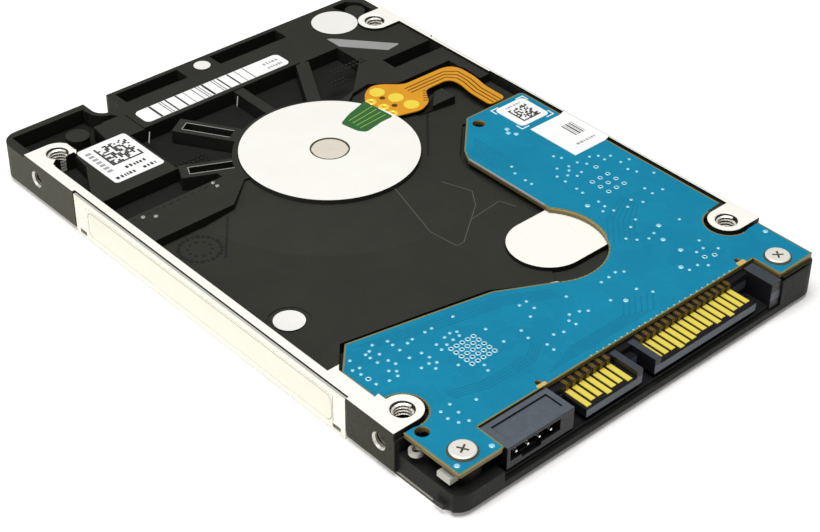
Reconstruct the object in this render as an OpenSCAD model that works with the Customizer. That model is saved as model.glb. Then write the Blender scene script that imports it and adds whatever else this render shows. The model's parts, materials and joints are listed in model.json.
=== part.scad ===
// 2.5 inch hard disk drive, 7 mm high, lying on its cover with the circuit board side up.
// +Z is the circuit board side, the connector end is at -Y, the origin is under the centre of the base.

/* [Envelope] */
// overall width over the cover flanges, mm
drive_w = 69.85; // [69.6:0.05:70.1]
// overall length, mm
drive_l = 100.35; // [100.0:0.05:100.5]
// height from the cover label to the mounting faces, mm
drive_h = 7.0; // [6.8:0.05:9.5]
// radius of the vertical corners, mm
corner_r = 2.8; // [1:0.1:5]
// thickness of the cover sheet, mm
cover_t = 0.4; // [0.3:0.05:0.8]

/* [Mounting holes] */
// half of the hole spacing across the width, mm
hole_x = 30.86; // [30:0.01:32]
// distance of the front holes from the connector end, mm
front_hole_y = 14.0; // [10:0.05:18]
// distance of the rear holes from the connector end, mm
rear_hole_y = 90.6; // [80:0.05:95]
// radius of the threaded hole walls, mm
hole_r = 1.5; // [1.2:0.05:1.8]
// height of the side holes above the cover label, mm
side_hole_z = 4.0; // [3:0.05:5]

/* [Disk and motor] */
// spindle position across the width, mm
spin_x = 0.3; // [-1:0.1:1]
// spindle position along the length, mm
spin_y = 15.3; // [10:0.1:20]
// outer radius of the disk, mm
disk_r = 32.5; // [24:0.1:33]
// thickness of the disk, mm
disk_t = 0.8; // [0.5:0.05:1.3]
// radius of the visible motor base, mm
motor_r = 13.6; // [10:0.1:16]

/* [Actuator] */
// pivot position across the width, mm
pivot_x = 13.0; // [10:0.1:16]
// pivot position along the length, mm
pivot_y = -22.5; // [-26:0.1:-20]
// direction of the parked arm, degrees from +X
park_a = 162.7; // [155:0.1:168]

/* [Circuit board] */
// height of the board's upper face, mm
board_top = 6.6; // [6.2:0.05:6.9]
// board thickness, mm
board_t = 0.8; // [0.6:0.05:1.2]
// pitch of the plug contacts, mm
pitch = 1.27; // [1:0.01:2]
// centre of the plug tongue across the width, mm
plug_x = 4.8; // [4:0.05:5.5]

/* [Hidden] */
$fn = 48;
yf = -drive_l / 2;
yr = drive_l / 2;
hyf = yf + front_hole_y;
hyr = yf + rear_hole_y;
case_w = drive_w - 0.2;
case_x = case_w / 2;
flange_y0 = -29.8;
flange_y1 = 30.3;
cz0 = 0.8;
field_z = 6.5;
low_z = 5.0;
pocket_z = 4.2;
recess_z = 4.8;
ceil_z = 3.3;
arm_ceil = 4.1;
disk_z = 2.0;
board_z = board_top - board_t;

// ---------- helpers ----------
module rrect(x0, x1, y0, y1, r) {
  translate([x0 + r, y0]) square([x1 - x0 - 2 * r, y1 - y0]);
  translate([x0, y0 + r]) square([x1 - x0, y1 - y0 - 2 * r]);
  for (x = [x0 + r, x1 - r]) for (y = [y0 + r, y1 - r]) translate([x, y]) circle(r);
}
module slab(z0, z1) { translate([0, 0, z0]) linear_extrude(z1 - z0) children(); }
module at_pivot(a = 0) { translate([pivot_x, pivot_y, 0]) rotate(a) children(); }
module at_spin() { translate([spin_x, spin_y, 0]) children(); }
module tube(r1, r0, z0, z1) {
  translate([0, 0, z0]) difference() {
    cylinder(r = r1, h = z1 - z0);
    translate([0, 0, -0.1]) cylinder(r = r0, h = z1 - z0 + 0.2);
  }
}
module sector(r1, r0, a0, a1) {
  n = 10;
  polygon(concat([for (i = [0:n]) r1 * [cos(a0 + (a1 - a0) * i / n), sin(a0 + (a1 - a0) * i / n)]],
    [for (i = [n:-1:0]) r0 * [cos(a0 + (a1 - a0) * i / n), sin(a0 + (a1 - a0) * i / n)]]));
}
module bar2(a, b, w) {
  d = b - a;
  translate(a) rotate(atan2(d[1], d[0])) translate([0, -w / 2]) square([norm(d), w]);
}
cover_holes = [[-31.4, 46.2], [31.4, 46.2], [-32.4, -5], [32.4, -5], [-31.2, -46.6], [31.2, -46.6]];
notch_c = [-17.9, 47.7];
module notch2() {
  translate(notch_c) circle(2.1);
  translate([notch_c[0] - 2.1, notch_c[1]]) square([4.2, 5]);
}

// outline of the sealed chamber, d is added all round
module chamber(d) {
  difference() {
    union() {
      translate([spin_x, spin_y]) circle(33.2 + d, $fn = 120);
      translate([-29 - d, -41.8 - d]) square([60.2 + 2 * d, 30 + 2 * d]);
      translate([-27 - d, -20]) square([54 + 2 * d, 20]);
    }
    translate([-40, -60]) square([26.5 - d, 36 - d]);
  }
}

// board outline, g widens it
module board2(g = 0) {
  polygon([[21.95 - g / 2, 8.36 + g], [33.3 + g / 2, 8.36 + g],
    [33.7 + g / 2, 7.8 + g], [33.7 + g / 2, -32.4 + g],
    [30.86, -32.6 + g], [30.86, -39.3 - g],
    [34.1 + g, -39.3 - g], [34.1 + g, -49.0 - g], [33.9, -49.2 - g], [27.2 - g, -49.2 - g], [27.0 - g, -49.0],
    [27.0 - g, -44.3 - g], [-26.0 + g, -44.3 - g], [-26.0 + g, -49.0], [-26.3 + g, -49.2 - g],
    [-33.1, -49.2 - g], [-33.4 - g, -49.0], [-33.4 - g, -39.3 - g], [-30.86, -39.3 - g],
    [-30.86, -32.6 + g],
    [-31.6 - g / 2, -32.2], [-31.6 - g / 2, -25.6 + g / 2], [-27.7 - g / 2, -21.5 + g], [-15.7, -23.9 + g],
    [-5.6, -26.0 + g], [2.9, -30.5], [8, -22], [14.3 - g, -17.3],
    [14.3 - g, -0.1 + g / 2], [15.4 - g / 2, 1.9 + g]]);
}
module board_arc() { translate([7.6, -22.9]) circle(8.9, $fn = 90); }

// machined pad under the actuator pivot
module pad2() {
  translate([8.85, -22.0]) circle(5.85, $fn = 72);
  translate([8.85, -27.85]) square([9, 11.7]);
}

// ---------- base casting ----------
module hole_boss(x, y, z1) {
  s = x > 0 ? 1 : -1;
  slab(cz0, z1) union() {
    translate([x, y]) circle(2.75);
    translate([s > 0 ? x : -case_x, y - 2.75]) square([case_x - hole_x, 5.5]);
  }
}
module radial_rib(a, w, r0 = 14, r1 = 26) {
  translate([spin_x, spin_y]) rotate(a) translate([r0, -w / 2]) square([r1 - r0, w]);
}
module casting_outline() {
  difference() {
    rrect(-case_x, case_x, yf, yr - 0.05, corner_r);
    for (s = [-1, 1]) translate([s * case_x - 0.45, flange_y0 - 0.25])
      square([0.9, flange_y1 - flange_y0 + 0.5]);
    for (s = [-1, 1]) translate([s * case_x - 0.6, -60]) square([1.2, 60 - 39.1]);
    notch2();
  }
}
module rear_ribs() {
  radial_rib(30, 2.2, 14, 29); radial_rib(60, 2.2, 14, 26.5); radial_rib(89, 1.8, 13.4, 23);
  radial_rib(122, 3.6, 13.4, 24.5); radial_rib(154, 3.4, 13.4, 22.5);
}
module rear_low() {
  // low floor behind the motor, between the radial ribs
  difference() {
    polygon([[-19.6, 26.6], [-19.6, 38.1], [20.8, 38.1], [20.8, 32.6], [14.2, 26.2], [0, 22], [-16, 22]]);
    translate([spin_x, spin_y]) circle(motor_r + 0.9, $fn = 96);
    rear_ribs();
  }
}
module left_low() {
  difference() {
    translate([-33.0, 20.2]) square([17, 5.9]);
    translate([spin_x, spin_y]) circle(motor_r + 0.9, $fn = 96);
    rear_ribs();
  }
}
module base_casting() color([0.10, 0.10, 0.09]) difference() {
  union() {
    // outer wall ring and the upper field
    slab(cz0, field_z) casting_outline();
    // bright machined rails
    slab(cz0, drive_h) intersection() {
      casting_outline();
      union() {
        translate([-case_x, -26]) square([case_x - 33.1, 68]);
        translate([-case_x, -36]) square([case_x - 31.2, 11.6]);
        translate([33.9, 14]) square([2, 28]);
        translate([34.15, -36]) square([2, 52]);
      }
    }
    for (s = [-1, 1]) for (y = [hyf, hyr]) hole_boss(s * hole_x, y, drive_h);
    slab(cz0, 6.72) translate([-17, 38.1]) square([30, 5.1]);
  }
  // sealed chamber, open on the cover side
  slab(0, ceil_z) translate([spin_x, spin_y]) circle(33.2, $fn = 120);
  slab(0, arm_ceil) intersection() {
    chamber(0);
    union() {
      translate([pivot_x, pivot_y]) circle(7.5, $fn = 96);
      translate([pivot_x, pivot_y]) sector(18.3, 0, -100, 21);
      translate([pivot_x, pivot_y]) sector(16.5, 0, 90, 200);
      translate([-9, -41.8]) square([22, 24]);
      translate([pivot_x, pivot_y]) sector(39.5, 0, 118, 172);
      translate([-29, -17]) square([14.5, 12]);
    }
  }
  // pocket of the latch
  slab(0, 3.42) { translate([27.6, -38.4]) circle(3.4); translate([20.6, -41.8]) square([7, 5.4]); }
  // motor well and the seat of the motor base
  at_spin() { translate([0, 0, 1]) cylinder(r = 13.0, h = 5.1, $fn = 96);
    translate([0, 0, 6.0]) cylinder(r = motor_r + 0.05, h = 2, $fn = 96); }
  // field in front of the motor falls to a lower floor
  difference() {
    slab(low_z, 8) polygon([[-33.0, -22], [-33.0, 13.4], [-19, 13.4], [-14, 17.5], [14.5, 13.5], [23.6, 23.3],
      [31.9, 23.3], [31.9, 16], [34.1, 16], [34.1, -32], [14, -34], [-6, -25], [-29, -20]]);
    // conical skirt round the motor
    at_spin() translate([0, 0, 4]) cylinder(r1 = 34, r2 = 14.2, h = 2.1, $fn = 96);
    slab(0, field_z) polygon([[16.4, 14.6], [25.2, 14.6], [25.2, 17.6], [23.4, 17.6]]);
    slab(0, 5.7) pad2();
  }
  // left pocket behind the cross rib, rear pockets between the ribs
  slab(pocket_z, 8) left_low();
  slab(pocket_z, 8) rear_low();
  slab(pocket_z, 8) translate([23.8, 27.2]) square([10.1, 3.1]);
  slab(pocket_z, 8) polygon([[-33.0, 28.6], [-29.4, 35.2], [-28.9, 39.0], [-32.2, 39.0], [-33.0, 38.2]]);
  slab(4.85, 8) translate([-28.8, -11.26]) circle(3.0);
  // radial slots cut in the two left ribs
  slab(5.0, 8) radial_rib(122, 1.9, 15.5, 23.2);
  slab(5.0, 8) radial_rib(154, 1.8, 14.6, 21.2);
  // pockets along the rear wall
  slab(4.0, 8) difference() {
    union() {
      translate([-33.3, 43.6]) square([12.4, 5.3]);
      polygon([[-28.4, 39.5], [-23.0, 39.5], [-22.4, 44], [-28.4, 44]]);
      polygon([[-21, 43.8], [-17.8, 43.8], [-20.3, 48], [-21, 48]]);
    }
    translate([-25.6, 43.2]) circle(1.8);
    translate(notch_c) circle(2.9);
  }
  slab(4.4, 8) for (x = [-14.6, 3.4]) translate([x, 46.2]) square([x < 0 ? 11.6 : 13.4, 3.1]);
  slab(4.0, 8) difference() {
    polygon([[29.0, 49.2], [29.0, 48.2], [30.3, 44.6], [33.6, 43.6], [33.6, 47.4], [32, 49.2]]);
    translate([31.2, 45.9]) circle(1.7);
  }
  // recess for the circuit board and deeper pockets for the chips
  slab(recess_z, 8) difference() {
    board2(0.7);
    for (y = [hyf]) for (s = [-1, 1]) translate([s * hole_x, y]) circle(2.76);
    for (s = [-1, 1]) translate([s > 0 ? hole_x : -case_x, hyf - 2.76]) square([case_x - hole_x, 5.52]);
    for (x = [-30.26, 29.81]) translate([x, -46.4]) circle(2.4);
    translate([22.25, 6.1]) circle(1.2);
    translate([-31.6, -40.6]) circle(0.8);
    pad2();
    translate([-33.4, -49.6]) square([6.6, 4.0]);
    translate([27.6, -49.6]) square([6.8, 4.0]);
  }
  slab(board_z - 0.02, 8) difference() {
    union() {
      board2(0.7);
      for (x = [-35, 26.6]) translate([x, -51]) square([8.4, 12.2]);
    }
    for (s = [-1, 1]) { translate([s * hole_x, hyf]) circle(2.76);
      translate([s > 0 ? hole_x : -case_x, hyf - 2.76]) square([case_x - hole_x, 5.52]); }
    translate([22.25, 6.1]) circle(0.85);
  }
  slab(5.7, 8) translate([7.9, -22.2]) circle(9.6);
  slab(4.3, 8) translate([-23.6, -40.4]) square([14.2, 14.2]);
  // open corner under the left tab of the board, with the screw boss left standing
  slab(3.6, 8) difference() {
    translate([-35, -51]) square([8.4, 11.8]);
    translate([-30.26, -46.4]) circle(2.4);
  }
  // connector bay, open to the front
  slab(1.9, 8) translate([-26.6, yf - 1]) square([53.2, 6.95]);
  // channel of the motor ribbon cable
  slab(5.8, 8) {
    polygon([[5.2, 14.6], [14, 13.2], [19.4, 13.6], [23.6, 17.6], [27.2, 17.6], [26.2, 13], [26.2, 8],
      [31.4, 8], [32.2, 20], [31, 23.3], [21, 23.3], [17.2, 26.2], [13.6, 25.6], [8, 21.8]]);
  }
  // mounting holes on the board side, M3, with a chamfered mouth
  for (s = [-1, 1]) for (y = [hyf, hyr]) {
    translate([s * hole_x, y, drive_h - 3.0]) cylinder(r = hole_r, h = 4);
    translate([s * hole_x, y, drive_h - 0.25]) cylinder(r1 = hole_r, r2 = hole_r + 0.3, h = 0.3);
    // side holes
    translate([s * (case_x - 2.2), y, side_hole_z]) rotate([0, s * 90, 0]) cylinder(r = hole_r, h = 4);
    translate([s * (case_x - 0.3), y, side_hole_z]) rotate([0, s * 90, 0])
      cylinder(r1 = hole_r, r2 = hole_r + 0.35, h = 0.35);
  }
  // screw holes for the cover and the circuit board
  for (p = cover_holes) translate([p[0], p[1], 0]) cylinder(r = 0.82, h = 3.5);
  for (x = [-30.26, 29.81]) translate([x, -46.4, 3.9]) cylinder(r = 0.82, h = 4);
  at_pivot() translate([0, 0, 3]) cylinder(r = 2.0, h = 2.2);
  translate([-27.2, -14.6, 0]) cylinder(r = 0.72, h = 4.6);
  // relief in the right rail for the folded label
  slab(6.9, 8) translate([33, -10.1]) square([3, 9.9]);
  // breather hole and board dowel recess
  translate([31.0, -15, 0]) cylinder(r = 0.6, h = 3.6);
}

// ---------- cover side ----------
module cover2() {
  difference() {
    rrect(-34.35, 34.35, yf + 1.0, yr - 0.35, corner_r);
    offset_notch();
  }
}
module offset_notch() {
  translate(notch_c) circle(2.3);
  translate([notch_c[0] - 2.3, notch_c[1]]) square([4.6, 5]);
}
module top_cover() color([0.80, 0.80, 0.80]) difference() {
  union() {
    slab(0.1, 0.1 + cover_t) cover2();
    // side flanges over the middle of the long sides
    for (s = [-1, 1]) {
      translate([s > 0 ? 34.42 : -34.82, flange_y0, 0.1]) cube([0.4, flange_y1 - flange_y0, 6.6]);
      translate([s > 0 ? 34.3 : -34.82, flange_y0, 0.1]) cube([0.52, flange_y1 - flange_y0, 0.4]);
    }
  }
  for (p = cover_holes) translate([p[0], p[1], 0]) { cylinder(r = 1.7, h = 0.3);
    cylinder(r = 1.05, h = 2); }
  at_pivot() { cylinder(r = 1.7, h = 0.3); cylinder(r = 1.05, h = 2); }
  // reliefs at the lower ends of the flanges
  for (s = [-1, 1]) for (y = [flange_y0 + 0.9, flange_y1 - 2.5])
    translate([s > 0 ? 34.4 : -35.4, y, 0.5]) cube([1, 1.6, 0.7]);
}
module cover_gasket() color([0.16, 0.16, 0.17]) slab(0.52, 0.78)
  difference() { chamber(0.95); chamber(0.25); }
module cover_label() color([0.86, 0.86, 0.84]) {
  slab(0, 0.09) rrect(-28.5, 28.5, -44, 43, 2);
  for (s = [-1, 1]) translate([s > 0 ? 34.83 : -34.92, -27.4, 1.3]) cube([0.09, 54.8, 4.4]);
}
module torx_screw(head_r, head_z0, head_z1, shaft_r, z_end) {
  difference() {
    union() {
      translate([0, 0, head_z0]) cylinder(r = head_r, h = head_z1 - head_z0);
      translate([0, 0, head_z1]) cylinder(r = shaft_r, h = z_end - head_z1);
    }
    for (a = [0:60:120]) rotate(a) translate([-0.75, -0.22, -1]) cube([1.5, 0.44, 1.22]);
  }
}
module cover_screws() color([0.32, 0.32, 0.33]) {
  for (p = cover_holes) translate([p[0], p[1], 0]) torx_screw(1.6, 0.12, 0.3, 0.8, 3.2);
  at_pivot() torx_screw(1.6, 0.12, 0.3, 0.8, 2.3);
}

// ---------- spindle motor ----------
module motor_base() color([0.86, 0.86, 0.83]) at_spin() difference() {
  union() {
    translate([0, 0, 6.05]) cylinder(r = motor_r, h = 0.8, $fn = 96);
    translate([0, 0, 3.4]) cylinder(r = 4.2, h = 2.8);
  }
  translate([0, 0, 3]) cylinder(r = 2.95, h = 5);
}
module bearing_sleeve() color([0.72, 0.62, 0.38]) at_spin() tube(2.92, 1.55, 3.0, 6.1);
module thrust_cap() color([0.88, 0.86, 0.80]) at_spin() translate([0, 0, 6.15]) cylinder(r = 2.9, h = 0.45);
module stator_core() color([0.45, 0.45, 0.47]) at_spin() slab(4.2, 5.1) {
  difference() { circle(5.6); circle(4.25); }
  for (i = [0:8]) rotate(i * 40) {
    translate([5.4, -0.45]) square([3.2, 0.9]);
    sector(9.3, 8.4, -15, 15);
  }
}
module stator_coils() color([0.75, 0.42, 0.20]) at_spin()
  for (i = [0:8]) rotate(i * 40) translate([5.9, 0, 0]) difference() {
    translate([0, -0.95, 3.8]) cube([2.3, 1.9, 1.7]);
    translate([-0.1, -0.47, 4.18]) cube([2.6, 0.94, 0.94]);
  }
module rotor_hub() color([0.78, 0.78, 0.77]) at_spin() difference() {
  union() {
    translate([0, 0, 1.3]) cylinder(r = 9.96, h = 1.6, $fn = 96);
    translate([0, 0, disk_z + disk_t]) cylinder(r = 12.3, h = 0.6, $fn = 96);
    tube(12.3, 10.6, 3.3, 5.6);
  }
  translate([0, 0, 2.85]) cylinder(r = 9.5, h = 4, $fn = 96);
  translate([0, 0, 0]) cylinder(r = 1.5, h = 4);
  translate([0, 0, 1.0]) cylinder(r = 3.2, h = 0.7);
}
module spindle_shaft() color([0.75, 0.76, 0.78]) at_spin() difference() {
  translate([0, 0, 1.75]) cylinder(r = 1.5, h = 4.2);
  translate([0, 0, 1.6]) cylinder(r = 0.65, h = 2.0);
}
module magnet_ring() color([0.25, 0.25, 0.27]) at_spin() tube(10.58, 9.6, 3.45, 5.5);
module platter() color([0.80, 0.81, 0.83]) at_spin() tube(disk_r, 9.98, disk_z, disk_z + disk_t);
module disk_clamp() color([0.75, 0.75, 0.76]) at_spin() {
  difference() {
    translate([0, 0, 0.95]) cylinder(r = 11.6, h = 1.05, $fn = 96);
    translate([0, 0, 1.25]) cylinder(r = 10.2, h = 1, $fn = 96);
    translate([0, 0, 0.5]) cylinder(r = 1.0, h = 2);
    for (i = [0:5]) rotate(i * 60) translate([6.8, 0, 0.5]) cylinder(r = 0.9, h = 1);
  }
}
module clamp_screw() color([0.5, 0.5, 0.52]) at_spin() torx_screw(1.9, 0.62, 0.95, 0.62, 3.3);

module motor_flex() color([0.93, 0.66, 0.16]) {
  // tail over the motor base
  slab(6.87, 6.93) polygon([[6.0, 19.4], [6.5, 16.0], [7.4, 15.3], [11.2, 15.9], [14.4, 15.6],
    [13.2, 22.6], [11.6, 21.6], [8.7, 20.8]]);
  slab(6.5, 6.7) {
    polygon([[14.0, 15.8], [18.3, 14.7], [20.7, 15.7], [22.7, 18.6], [27.1, 18.8], [27.1, 22.0], [20.8, 22.2],
      [18.5, 24.6], [16.8, 25.2], [14.8, 24.2], [12.9, 22.0], [14.0, 19]]);
    polygon([[27.0, 18.8], [27.8, 18.4], [28.1, 16.4], [27.5, 13.4], [27.4, 8.9], [30.7, 8.9], [30.8, 13.8],
      [31.4, 16.8], [31.4, 19.6], [30.8, 21.3], [29.6, 22.0], [27.0, 22.0]]);
  }
}

// ---------- actuator ----------
module pivot_post() color([0.78, 0.78, 0.80]) at_pivot() difference() {
  union() {
    translate([0, 0, 0.55]) cylinder(r = 1.75, h = 4.4);
    translate([0, 0, 3.95]) cylinder(r = 1.98, h = 1.0);
  }
  translate([0, 0, 0.3]) cylinder(r = 0.83, h = 2.4);
}
module pivot_bearing() color([0.70, 0.71, 0.74]) at_pivot() tube(4.2, 1.82, 0.75, 3.85);
module actuator_arm() color([0.76, 0.77, 0.79]) at_pivot(park_a) difference() {
  union() {
    translate([0, 0, 0.9]) cylinder(r = 5.6, h = 3.0);
    for (z = [0.9, 3.45]) slab(z, z + 0.45)
      polygon([[3, -5.0], [14, -3.4], [24.5, -2.2], [24.5, 2.2], [14, 3.4], [3, 5.0]]);
  }
  translate([0, 0, 0]) cylinder(r = 4.22, h = 6);
  for (x = [10.5, 17]) translate([x, 0, 0]) cylinder(r = x < 12 ? 2.2 : 1.6, h = 6);
}
module coil_frame() color([0.12, 0.12, 0.13]) at_pivot(park_a + 180) slab(1.95, 2.85) difference() {
  union() { sector(17.0, 6.4, -26, 26); translate([5.72, -3]) square([1.6, 6]); }
  sector(16.2, 7.9, -23.5, 23.5);
}
module voice_coil() color([0.78, 0.42, 0.18]) at_pivot(park_a + 180) slab(2.0, 2.8) difference() {
  sector(16.1, 8.0, -23.2, 23.2);
  sector(13.6, 10.4, -13.5, 13.5);
}
module suspensions() color([0.80, 0.80, 0.82]) at_pivot(park_a) {
  for (z = [1.36, 3.33]) slab(z, z + 0.1)
    polygon([[21, -2.0], [25, -2.0], [35.6, -0.7], [38.2, -0.35],
      [38.2, 0.35], [35.6, 0.7], [25, 2.0], [21, 2.0]]);
}
module head_sliders() color([0.22, 0.22, 0.24]) at_pivot(park_a) {
  slab(1.47, 1.70) translate([35.4, -0.35]) square([1.2, 0.7]);
  slab(3.10, 3.32) translate([35.4, -0.35]) square([1.2, 0.7]);
}
module arm_preamp() color([0.85, 0.60, 0.18]) at_pivot(park_a) {
  translate([1.5, 5.72, 1.2]) cube([5.5, 0.25, 2.2]);
  translate([2.4, 5.98, 1.5]) cube([2.2, 0.5, 1.6]);
}
module head_flex() color([0.88, 0.60, 0.16]) {
  // flexible loop between the connector and the actuator, stored in its parked shape
  slab(1.2, 3.4) {
    bar2([0.85, -34.0], [3.3, -34.2], 0.2);
    bar2([3.2, -34.25], [6.1, -32.0], 0.2);
    bar2([6.0, -32.1], [7.4, -29.6], 0.2);
  }
}
module head_connector() color([0.13, 0.13, 0.14]) {
  slab(0.9, 3.9) translate([-7.6, -38.0]) square([8.4, 6.6]);
  slab(3.9, 4.05) translate([-8.2, -38.6]) square([9.6, 7.8]);
}
module yoke2() { sector(17.6, 7.2, -84, 8); }
module lower_yoke() color([0.66, 0.67, 0.69]) at_pivot() slab(0.62, 1.2) yoke2();
module upper_yoke() color([0.66, 0.67, 0.69]) at_pivot() {
  slab(3.5, 4.05) yoke2();
  slab(1.2, 3.6) sector(17.2, 8.6, -83.2, -79.6);
}
module yoke_magnets() color([0.45, 0.46, 0.48]) at_pivot() {
  for (z = [1.2, 2.95]) slab(z, z + 0.55) for (a = [-73, -34]) sector(16.4, 8.2, a, a + 38);
}
module load_ramp() color([0.90, 0.88, 0.82]) difference() {
  union() {
    slab(0.7, 4.05) translate([-28.8, -16.8]) square([3.8, 4.8]);
    at_pivot() for (z = [0.86, 3.48]) slab(z, z + 0.44) sector(39.6, 36.8, 160.2, 168.8);
    at_pivot() slab(0.7, 4.0) sector(41.4, 39.0, 161, 168);
  }
  translate([-27.2, -14.6, -1]) cylinder(r = 0.8, h = 6);
  translate([-27.2, -14.6, 0]) cylinder(r = 1.4, h = 1.4);
}
module ramp_screw() color([0.45, 0.45, 0.47]) translate([-27.2, -14.6, 0]) difference() {
  union() {
    translate([0, 0, 0.75]) cylinder(r = 1.3, h = 0.65);
    translate([0, 0, 1.35]) cylinder(r = 0.7, h = 3.2);
  }
  for (a = [0:60:120]) rotate(a) translate([-0.6, -0.18, 0]) cube([1.2, 0.36, 1.0]);
}
module latch_pin() color([0.75, 0.75, 0.77]) translate([27.6, -38.4, 0.62]) cylinder(r = 0.6, h = 2.78);
module latch_lever() color([0.15, 0.16, 0.18]) translate([27.6, -38.4, 0]) slab(1.9, 2.9) difference() {
  union() { circle(1.5); rotate(205) translate([0, -0.5]) square([5.4, 1.0]);
    rotate(60) translate([0, -0.6]) square([2.7, 1.2]); }
  circle(0.66);
}
module crash_stops() color([0.10, 0.10, 0.11]) at_pivot() {
  rotate(15) translate([12, 0, 0.7]) cylinder(r = 1.0, h = 3.38);
}
module filter_pad() color([0.93, 0.93, 0.90]) slab(0.8, 3.9) translate([-8.6, -29.8]) square([6, 2]);
module breather_filter() color([0.90, 0.90, 0.86]) slab(0.55, 0.8) translate([24.8, -16.6]) square([3, 3]);

// ---------- circuit board ----------
module pcb() color([0.06, 0.50, 0.66]) slab(board_z, board_top) difference() {
  board2();
  for (s = [-1, 1]) translate([s * hole_x, hyf]) circle(3.3);
  board_arc();
  for (x = [-30.26, 29.81]) translate([x, -46.4]) circle(1.1);
  translate([22.25, 6.1]) circle(1.0);
  translate([-31.6, -40.6]) circle(1.0);
  translate([24.9, -43.2]) circle(0.45);
  translate([-14.4, -43.4]) circle(0.45);
}
module pcb_screws() color([0.83, 0.83, 0.80])
  for (x = [-30.26, 29.81]) translate([x, -46.4, 0]) difference() {
  union() {
    translate([0, 0, board_top + 0.02]) cylinder(r = 1.78, h = 0.36);
    translate([0, 0, 4.1]) cylinder(r = 0.8, h = board_top - 4.05);
  }
  for (a = [20, 110]) rotate(a) translate([-0.8, -0.17, board_top + 0.1]) cube([1.6, 0.34, 1]);
}
module pcb_insulator() color([0.85, 0.85, 0.82]) slab(board_z - 0.12, board_z - 0.03)
  polygon([[-8, -43], [12, -43], [12, -33.5], [-4, -33.5], [-8, -31]]);
module chip(x, y, a, b, h) { translate([x - a / 2, y - b / 2, board_z - 0.03 - h]) cube([a, b, h]); }
module controller_chip() color([0.10, 0.10, 0.11]) chip(-16.4, -33.3, 12, 12, 1.1);
module motor_driver() color([0.10, 0.10, 0.11]) chip(25.3, -18.3, 7, 6, 0.9);
module memory_chip() color([0.10, 0.10, 0.11]) chip(20.5, -36.5, 8, 6, 0.8);
module small_components() color([0.55, 0.45, 0.33]) {
  for (i = [0:5]) chip(-29.6 + 0.6 * (i % 2), -30.6 + i * 1.6 - 2, 0.9, 0.5, 0.4);
  for (i = [0:6]) chip(16.4 + i * 1.7, -30.6, 0.6, 1.0, 0.5);
  for (i = [0:4]) chip(18.6 + i * 1.9, -5.5, 1.0, 0.6, 0.5);
  chip(17.6, -41.2, 3.0, 2.4, 0.8);
}
module motor_contacts() color([0.90, 0.74, 0.25])
  for (i = [0:3]) translate([27.6 + i * 0.9, 6.9, board_z - 0.33]) cube([0.5, 1.1, 0.3]);

// ---------- plug connector ----------
tongue_l = 33.39;
tx0 = plug_x - tongue_l / 2;
sig_x = tx0 + 0.82;
pow_x = tx0 + tongue_l - 0.82 - 14 * pitch;
module connector_housing() color([0.27, 0.29, 0.34]) difference() {
  union() {
    // rear body under the board edge
    translate([-25.85, -45.4, 2.0]) cube([52.3, 1.1, 3.7]);
    // blade with the contacts on its upper face
    translate([tx0, yf + 0.45, 3.37]) cube([tongue_l, 5.0, 1.23]);
    // L legs of the two keys and the bridge between the blades
    translate([tx0 + 10.41 - 1.1, yf + 0.45, 3.37]) cube([1.1, 5.0, 2.4]);
    translate([tx0 + 12.82, yf + 0.45, 3.37]) cube([1.1, 5.0, 2.4]);
    // jumper header block and the right end block
    translate([-25.85, yf + 0.5, 3.0]) cube([11.65, 5.0, 3.45]);
    translate([24.5, yf + 0.3, 2.0]) cube([2.0, 5.2, 4.2]);
    translate([-25.85, yf + 0.6, 2.0]) cube([52.3, 4.9, 0.5]);
    translate([-25.85, yf + 4.0, 2.0]) cube([11.65, 1.5, 1.5]);
  }
  // gap between the two keyed blades
  translate([tx0 + 10.41, yf - 1, 3.0]) cube([2.41, 4.6, 4]);
  // pin cavity of the jumper header and the pocket on top of the block
  translate([-25.3, yf - 1, 4.1]) cube([8.7, 4.9, 1.8]);
  translate([-23.3, yf - 1, 3.6]) cube([3.4, 2.2, 1.0]);
  translate([-24.7, yf + 1.7, 6.1]) cube([9.6, 3.0, 2]);
}
module contact(x, y0) {
  translate([x - 0.42, y0, 4.62]) cube([0.84, -45.45 - y0, 0.12]);
}
module signal_contacts() color([0.95, 0.78, 0.20])
  for (i = [0:6]) contact(sig_x + i * pitch, yf + ((i == 0 || i == 3 || i == 6) ? 0.8 : 1.3));
module power_contacts() color([0.95, 0.78, 0.20])
  for (i = [0:14]) contact(pow_x + i * pitch,
    yf + ((i == 3 || i == 11) ? 0.75 : (i == 4 || i == 5 || i == 9) ? 0.95 : 1.3));
module jumper_pins() color([0.88, 0.84, 0.70])
  for (i = [0:3]) translate([-24.15 + i * 2.0, yf + 1.3, 4.75]) cube([0.5, 2.6, 0.5]);

// ---------- labels and seals ----------
module barcode_label() color([0.95, 0.95, 0.93]) slab(6.73, 6.8) rrect(-15.9, 11.8, 38.9, 42.6, 0.9);
module code_label() color([0.95, 0.95, 0.93]) slab(6.51, 6.58) rrect(-28.6, -20.0, 28.6, 39.2, 0.6);
module board_label() color([0.95, 0.95, 0.93])
  slab(board_top + 0.01, board_top + 0.08) rrect(26.6, 32.6, 1.0, 7.2, 0.8);
module edge_label() color([0.96, 0.96, 0.95]) {
  translate([0, -0.35, 0]) rotate([90, 0, 0]) linear_extrude(9.6)
    polygon([[27.0, 6.61], [33.5, 6.61], [34.16, 6.91], [34.36, 6.91],
      [34.36, 6.98], [34.13, 6.98], [33.47, 6.68], [27.0, 6.68]]);
}
module seal_discs() color([0.90, 0.90, 0.86]) {
  translate([25.75, 44.7, 6.51]) cylinder(r = 3.85, h = 0.1);
  translate([0.8, 47.7, 6.51]) cylinder(r = 1.35, h = 0.1);
  translate([-28.8, -11.26, 4.87]) cylinder(r = 2.2, h = 0.19);
}
module process_label() color([0.62, 0.62, 0.62]) slab(6.51, 6.58)
  polygon([[21.3, 41.3], [22.0, 40.9], [29.2, 32.7], [29.1, 32.4], [26.6, 32.1], [21.3, 38.1]]);

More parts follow.
